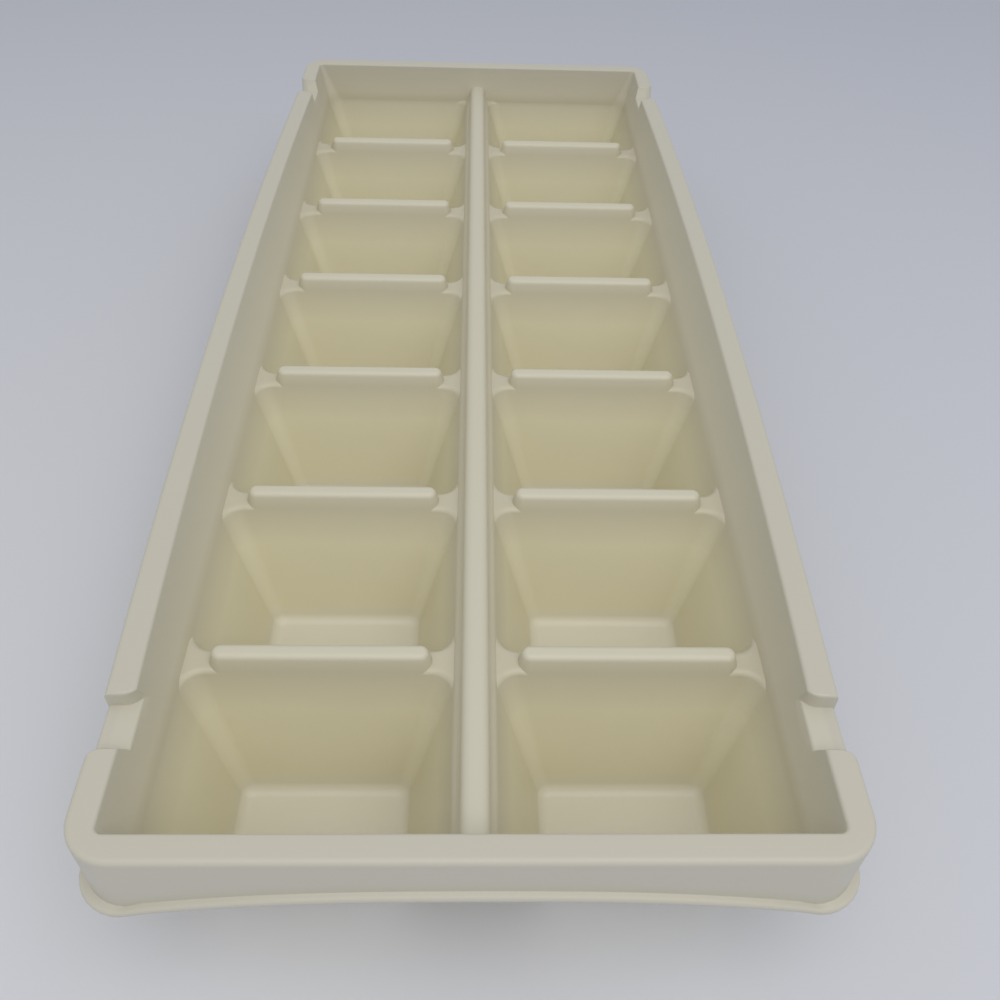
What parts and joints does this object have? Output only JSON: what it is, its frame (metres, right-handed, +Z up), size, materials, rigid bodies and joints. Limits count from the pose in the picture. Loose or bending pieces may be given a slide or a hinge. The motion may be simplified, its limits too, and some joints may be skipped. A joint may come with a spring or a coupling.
{
  "type": "ice cube tray",
  "caption": "Long moulded ice cube tray: two columns of tapered wells in a shallow trough, with a flat notched rim and arched finger lips at both ends.",
  "frame": {"origin": "on the ground under the middle of the tray", "axes": "+X across the tray, +Y along it from the front end to the back end, +Z up out of the wells"},
  "size_m": [0.1262, 0.2942, 0.04],
  "materials": {
    "ivory_plastic": "satin, faintly translucent ivory moulded plastic"
  },
  "bodies": {
    "root": {"well_left_1": "ivory_plastic", "well_left_2": "ivory_plastic", "well_left_3": "ivory_plastic", "well_left_4": "ivory_plastic", "well_left_5": "ivory_plastic", "well_left_6": "ivory_plastic", "well_left_7": "ivory_plastic", "well_right_1": "ivory_plastic", "well_right_2": "ivory_plastic", "well_right_3": "ivory_plastic", "well_right_4": "ivory_plastic", "well_right_5": "ivory_plastic", "well_right_6": "ivory_plastic", "well_right_7": "ivory_plastic", "divider_bar_left_1": "ivory_plastic", "divider_bar_left_2": "ivory_plastic", "divider_bar_left_3": "ivory_plastic", "divider_bar_left_4": "ivory_plastic", "divider_bar_left_5": "ivory_plastic", "divider_bar_left_6": "ivory_plastic", "divider_bar_right_1": "ivory_plastic", "divider_bar_right_2": "ivory_plastic", "divider_bar_right_3": "ivory_plastic", "divider_bar_right_4": "ivory_plastic", "divider_bar_right_5": "ivory_plastic", "divider_bar_right_6": "ivory_plastic", "centre_rib": "ivory_plastic", "trough_wall_left": "ivory_plastic", "trough_wall_right": "ivory_plastic", "trough_wall_front": "ivory_plastic", "trough_wall_back": "ivory_plastic", "rim_left": "ivory_plastic", "rim_right": "ivory_plastic", "rim_front": "ivory_plastic", "rim_back": "ivory_plastic", "corner_front_left": "ivory_plastic", "corner_front_right": "ivory_plastic", "corner_back_left": "ivory_plastic", "corner_back_right": "ivory_plastic", "notch_front_left": "ivory_plastic", "notch_front_right": "ivory_plastic", "notch_back_left": "ivory_plastic", "notch_back_right": "ivory_plastic"}
  },
  "joints": []
}
